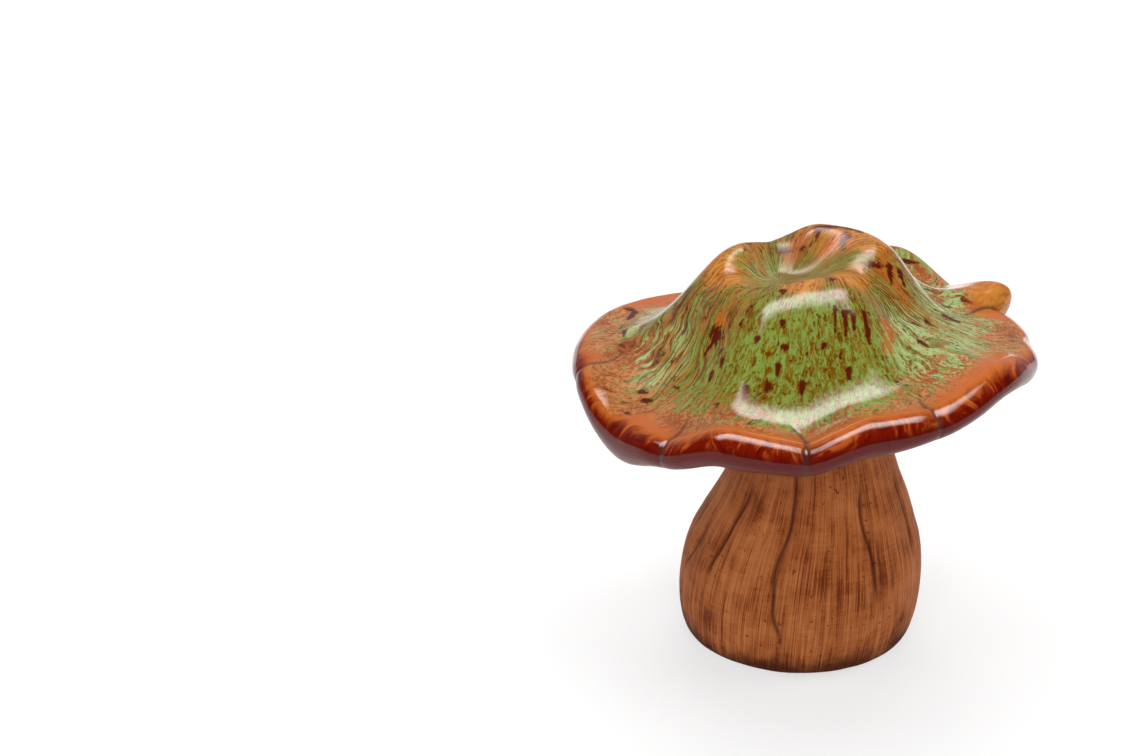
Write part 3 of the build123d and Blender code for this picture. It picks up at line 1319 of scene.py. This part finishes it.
@dataclass
class Stem:
    """Pear-shaped stem with carved lines and a spigot for the cap."""

    foot: float
    height: float = 108.5
    spigot: float = 24.0
    spigot_height: float = 16.0
    bevel: float = 1.0
    columns: int = 480
    unevenness: float = 1.0
    lump_grain: float = 26.0
    bank_width: float = 4.5
    bank_depth: float = 0.4
    radius_span: tuple[float, float] = (30.0, 65.0)
    lean_span: tuple[float, float] = (-5.0, 5.0)
    outline: tuple[StemPoint, ...] = (
        StemPoint(0.00, 53.5, -3.0),
        StemPoint(0.03, 56.2, -3.0),
        StemPoint(0.08, 57.8, -2.8),
        StemPoint(0.16, 59.2, -2.3),
        StemPoint(0.27, 59.4, -1.7),
        StemPoint(0.42, 57.3, -0.5),
        StemPoint(0.54, 52.8, 0.8),
        StemPoint(0.67, 46.9, 2.5),
        StemPoint(0.77, 42.3, 3.1),
        StemPoint(0.86, 38.8, 3.6),
        StemPoint(1.00, 34.5, 2.5),
    )
    grooves: tuple[Groove, ...] = (
        Groove(0.9, 0.8, ((33.0, 189.0), (52.0, 196.0), (66.0, 196.5))),
        Groove(1.1, 1.0, ((40.0, 212.0), (67.0, 216.0), (88.0, 219.5))),
        Groove(0.9, 0.7, ((18.0, 258.0), (37.0, 252.5), (56.0, 250.5), (77.0, 253.5), (104.0, 252.0))),
        Groove(0.9, 1.0, ((36.0, 304.5), (54.0, 303.5), (78.0, 298.0), (94.0, 300.0))),
        Groove(0.9, 0.8, ((48.0, 336.5), (66.0, 338.0), (90.0, 337.0))),
        Groove(0.7, 0.6, ((11.0, 316.0), (25.0, 325.0))),
        Groove(0.9, 0.9, ((30.0, 14.0), (58.0, 10.0), (92.0, 12.0))),
        Groove(1.0, 0.9, ((22.0, 47.0), (50.0, 52.0), (86.0, 49.0))),
        Groove(0.9, 0.8, ((36.0, 83.0), (62.0, 80.0), (98.0, 84.0))),
        Groove(0.9, 0.9, ((18.0, 118.0), (46.0, 112.0), (84.0, 115.0))),
        Groove(0.9, 0.8, ((32.0, 152.0), (60.0, 157.0), (92.0, 154.0))),
    )
    rows: dict[Side, int] = field(
        default_factory=lambda: {
            Side.SOLE: 8,
            Side.WALL: 150,
            Side.SHOULDER: 8,
            Side.SPIGOT: 12,
            Side.BEVEL: 2,
            Side.TOP: 6,
        }
    )

    def level(
        self, form: Form, share: Value, levels: Sequence[float], span: tuple[float, float]
    ) -> Value:
        """One column of the outline at a share of the height.

        Args:
            form: The tree that it is added to.
            share: The share of the height.
            levels: The column.
            span: A level below all of that column and one above it.

        Returns:
            The column's value.
        """
        low, high = span
        points = [(row.share, (own - low) / (high - low)) for row, own in zip(self.outline, levels)]
        curve = form.value("ShaderNodeFloatCurve", {"points": points}, {"Value": share})
        return curve * (high - low) + low

    def carving(self, angle: Value, rise: Value, radius: Value) -> tuple[Value, Value]:
        """How deep the carved lines are, and how dark the stain in them is.

        Args:
            angle: The angle round the stem.
            rise: The height above the foot.
            radius: The stem's radius there.

        Returns:
            The depth in millimetres, and the stain from 0 to 1.
        """
        depth: Number = 0.0
        stain: Number = 0.0
        for groove in self.grooves:
            way: Number = groove.points[0][1]
            for (z_a, a), (z_b, b) in zip(groove.points, groove.points[1:]):
                way = way + rise.ease(z_a, z_b) * (b - a)
            gap = (angle - way).turned().radians() * radius
            bottom, top = groove.points[0][0], groove.points[-1][0]
            ends = rise.ease(bottom - 4.0, bottom + 10.0) * rise.ease(top + 5.0, top - 10.0)
            line = gap.bell(groove.width) * ends
            soft = (gap - groove.width).bell(groove.width * self.bank_width) * ends
            depth = line * groove.depth + soft * (groove.depth * self.bank_depth) + depth
            stain = (line * 0.85 + soft * 0.2).most(stain)
        return depth, stain

    def build(self, material: bpy.types.Material) -> bpy.types.Object:
        """Make the stem's mesh.

        Args:
            material: The stain.

        Returns:
            The piece.
        """
        form = Form("stem_shape", {"Columns": self.columns, "Unevenness": self.unevenness})
        sheet = form.grid(form.size("Columns") + 1.0, sum(self.rows.values()) + 1)
        share: dict[Side, Value] = form.stretches(self.rows)
        angle = form.kept("u") * FULL_TURN
        turn = angle.radians()
        wall = share[Side.WALL]
        radii, leans = [row.radius for row in self.outline], [row.lean for row in self.outline]
        radius = self.level(form, wall, radii, self.radius_span) - radii[0] * (1.0 - share[Side.SOLE])
        radius = radius - self.bevel * (1.0 - wall.ease(0.0, 0.015)) * share[Side.SOLE]
        radius = radius + (self.spigot - radii[-1]) * share[Side.SHOULDER]
        radius = radius - self.bevel * share[Side.BEVEL] - (self.spigot - self.bevel) * share[Side.TOP]
        lean = self.level(form, wall, leans, self.lean_span) * (1.0 - share[Side.SHOULDER])
        rise = wall * self.height
        height = rise + (self.spigot_height - self.bevel) * share[Side.SPIGOT]
        height = height + self.bevel * share[Side.BEVEL]
        sheet = form.place(sheet, lean + radius * turn.cos(), radius * turn.sin(), height + self.foot)

        depth, stain = self.carving(angle, rise, radius)
        skin = (1.0 - share[Side.SHOULDER].ease(0.0, 0.2)) * share[Side.SOLE].ease(0.9, 1.0)
        sheet = form.store(sheet, "flow", form.vector(turn.cos(), turn.sin(), rise))
        sheet = form.store(sheet, "zones", form.vector(stain * skin, 0.0, 0.0))
        sheet = form.store(sheet, "sink", depth * skin)
        rough = form.lumps(self.lump_grain, 5.0) * form.size("Unevenness")
        solid = form.swell(form.closed(sheet), rough - form.kept("sink"))
        return form.finish(solid, "stem_stained", material)

    def dress(self) -> bpy.types.Object:
        """Build the stem, stain it and set it on its body.

        Returns:
            The piece.
        """
        piece = self.build(Bisque().make())
        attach(piece, "stem")
        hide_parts("stem")
        return piece


class Hem(Enum):
    """Stretches of a felt's profile, from its hole out along its underside and back over it."""

    BOTTOM = "bottom"
    RIM = "rim"
    TOP = "top"
    LINING = "lining"


@dataclass
class FeltPad:
    """Flat felt with soft edges: a ring, or a disc where it has no hole."""

    name: str
    node: str
    body: str
    slot: str
    finish: Felt
    hole: float = 0.0
    edge: float = 0.5
    columns: int = 240
    fuzz: float = 0.12
    fuzz_grain: float = 0.9
    rows: dict[Hem, int] = field(
        default_factory=lambda: {Hem.BOTTOM: 20, Hem.RIM: 10, Hem.TOP: 20, Hem.LINING: 10}
    )

    def build(self, material: bpy.types.Material) -> bpy.types.Object:
        """Make the felt's mesh in the place of its solid.

        Args:
            material: The felt.

        Returns:
            The piece.
        """
        low, high = (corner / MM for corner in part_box(self.node))
        middle = (low.x + high.x) / 2.0
        outer = (high.x - low.x) / 2.0
        form = Form(f"{self.name}_shape", {"Columns": self.columns, "Fuzz": self.fuzz})
        sheet = form.grid(form.size("Columns") + 1.0, sum(self.rows.values()) + 1)
        turn = (form.kept("u") * FULL_TURN).radians()
        share: dict[Hem, Value] = form.stretches(self.rows)
        roll = share[Hem.RIM] * math.pi
        flat = outer - self.hole - self.edge
        radius = self.hole + flat * (share[Hem.BOTTOM] - share[Hem.TOP]) + self.edge * roll.sin()
        height = low.z + (high.z - low.z) * (1.0 - roll.cos()) / 2.0
        height = height - (high.z - low.z) * share[Hem.LINING]
        sheet = form.place(sheet, middle + radius * turn.cos(), radius * turn.sin(), height)
        rough = form.lumps(self.fuzz_grain, 2.0) * form.size("Fuzz")
        solid = form.swell(form.closed(sheet), rough)
        return form.finish(solid, self.name, material)

    def dress(self) -> bpy.types.Object:
        """Build the felt and set it on its body.

        Returns:
            The piece.
        """
        piece = self.build(self.finish.make())
        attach(piece, self.body)
        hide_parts(self.node)
        return piece


# Studio


class Shows(Enum):
    """What a lamp shows in."""

    GLOSS = "gloss"
    MATTE = "matte"


class Lamp(NamedTuple):
    """Soft panel of light: its place and aim, its width and depth, its watts and what it shows in."""

    name: str
    place: Place
    aim: Place
    size: tuple[float, float]
    power: float
    shows: Shows


@dataclass
class Studio:
    """White table, soft light and the camera, with lengths in metres."""

    camera_place: Place = (-0.1175, -1.4819, 0.8420)
    camera_pitch: float = 25.5
    focal_pixels: float = 3400.0
    image_width: float = 1134.0
    sensor: float = 36.0
    floor_size: float = 8.0
    table_colour: tuple[float, float, float, float] = (0.97, 0.965, 0.96, 1.0)
    table_glow: float = 0.62
    room_front: float = 0.06
    room_back: float = 0.35
    lamps: tuple[Lamp, ...] = (
        Lamp("panel", (-0.2, 0.35, 2.2), (-0.2, 0.35, 0.0), (1.7, 1.5), 25.0, Shows.MATTE),
        Lamp("gleam_wide", (-0.32, 0.25, 1.8), (-0.32, 0.25, 0.0), (2.15, 1.04), 30.0, Shows.GLOSS),
        Lamp("gleam", (-0.32, 0.25, 1.77), (-0.32, 0.25, 0.0), (1.85, 0.78), 26.0, Shows.GLOSS),
        Lamp("gleam_core", (-0.32, 0.25, 1.74), (-0.32, 0.25, 0.0), (1.5, 0.5), 15.0, Shows.GLOSS),
        Lamp("front", (-0.3, -2.6, 1.3), (0.0, 0.0, 0.1), (2.4, 1.8), 56.0, Shows.MATTE),
        Lamp("back", (0.2, 2.4, 1.7), (0.0, 0.0, 0.0), (2.4, 1.6), 42.0, Shows.MATTE),
        Lamp("left", (-2.6, -0.3, 1.3), (0.0, 0.0, 0.1), (2.0, 1.6), 22.0, Shows.MATTE),
        Lamp("right", (2.6, 0.2, 1.3), (0.0, 0.0, 0.1), (2.0, 1.6), 36.0, Shows.MATTE),
    )

    def floor(self) -> None:
        """Lay the table."""
        half = self.floor_size / 2.0
        corners = [(-half, -half, 0.0), (half, -half, 0.0), (half, half, 0.0), (-half, half, 0.0)]
        mesh = bpy.data.meshes.new("table")
        mesh.from_pydata(corners, [], [(0, 1, 2, 3)])
        mesh.materials.append(self.table_white())
        table = bpy.data.objects.new("table", mesh)
        bpy.context.scene.collection.objects.link(table)

    def table_white(self) -> bpy.types.Material:
        """White table top that shows as white and keeps the shadow on it.

        Returns:
            The material.
        """
        paint = Paint("white_table")
        seen = paint.node("ShaderNodeLightPath").outputs["Is Camera Ray"]
        matte = paint.node("ShaderNodeBsdfDiffuse", {}, {"Color": self.table_colour})
        glow = paint.node("ShaderNodeEmission", {}, {"Color": WHITE, "Strength": 1.0})
        shares = {0: Value(paint, seen) * self.table_glow, 1: matte.outputs[0], 2: glow.outputs[0]}
        both = paint.node("ShaderNodeMixShader", {}, shares)
        paint.node("ShaderNodeOutputMaterial", {}, {"Surface": both.outputs[0]})
        return paint.material

    def hang(self, lamp: Lamp) -> None:
        """Hang a lamp so that it faces its aim.

        Args:
            lamp: The lamp.
        """
        light = bpy.data.lights.new(lamp.name, "AREA")
        light.shape = "RECTANGLE"
        light.size, light.size_y = lamp.size
        light.energy = lamp.power
        holder = bpy.data.objects.new(lamp.name, light)
        bpy.context.scene.collection.objects.link(holder)
        holder.location = lamp.place
        holder.visible_diffuse = lamp.shows is not Shows.GLOSS
        holder.visible_glossy = lamp.shows is not Shows.MATTE
        away = holder.location - type(holder.location)(lamp.aim)
        holder.rotation_euler = away.to_track_quat("Z", "Y").to_euler()

    def world(self) -> None:
        """Pale backdrop behind the object and a dim room in front, seen by the camera as white."""
        world = bpy.data.worlds.new("white_room")
        world.use_nodes = True
        bpy.context.scene.world = world
        graph = Graph(world.node_tree)
        graph.tree.nodes.clear()
        seen = Value(graph, graph.node("ShaderNodeLightPath").outputs["Is Camera Ray"])
        _, back, _ = graph.split(graph.node("ShaderNodeTexCoord").outputs["Generated"])
        level = back.ease(0.25, 0.75) * (self.room_back - self.room_front) + self.room_front
        glow = {"Color": WHITE, "Strength": seen.most(level)}
        light = graph.node("ShaderNodeBackground", {}, glow)
        graph.node("ShaderNodeOutputWorld", {}, {"Surface": light.outputs[0]})

    def camera(self) -> None:
        """Stand the camera where the picture was taken from."""
        lens = bpy.data.cameras.new("camera")
        lens.sensor_fit = "HORIZONTAL"
        lens.sensor_width = self.sensor
        lens.lens = self.focal_pixels / self.image_width * self.sensor
        camera = bpy.data.objects.new("camera", lens)
        bpy.context.scene.collection.objects.link(camera)
        camera.location = self.camera_place
        camera.rotation_euler = (math.radians(90.0 - self.camera_pitch), 0.0, 0.0)
        bpy.context.scene.camera = camera

    def build(self) -> None:
        """Set up everything that isn't the object."""
        self.floor()
        for lamp in self.lamps:
            self.hang(lamp)
        self.world()
        self.camera()
        bpy.context.scene.view_settings.view_transform = "Standard"


def corners(bounds: Sequence[Sequence[float]]) -> list[list[float]]:
    """A box as plain lists of numbers."""
    return [[float(number) for number in corner] for corner in bounds]


def main() -> None:
    """Build the ornament piece by piece, then the studio."""
    logging.basicConfig(level=logging.INFO)
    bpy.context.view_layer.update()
    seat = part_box("seat_ring")[1].z / MM
    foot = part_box("base_felt")[1].z / MM
    stem = Stem(foot)
    green = Felt("green_felt", (34, 52, 40), (62, 88, 68))
    grey = Felt("grey_felt", (92, 88, 82), (150, 146, 138))
    assembly = [
        FeltPad("base_felt_soft", "base_felt", "stem", "foot_felt", green),
        stem,
        FeltPad("seat_ring_soft", "seat_ring", "ring", "seat_felt", grey, stem.spigot + RING_GAP),
        Cap(seat),
    ]
    for sub in assembly:
        piece = sub.dress()
        LOG.info("%s: %d faces", piece.name, len(piece.data.polygons))
    Studio().build()


if __name__ == "__main__":
    main()
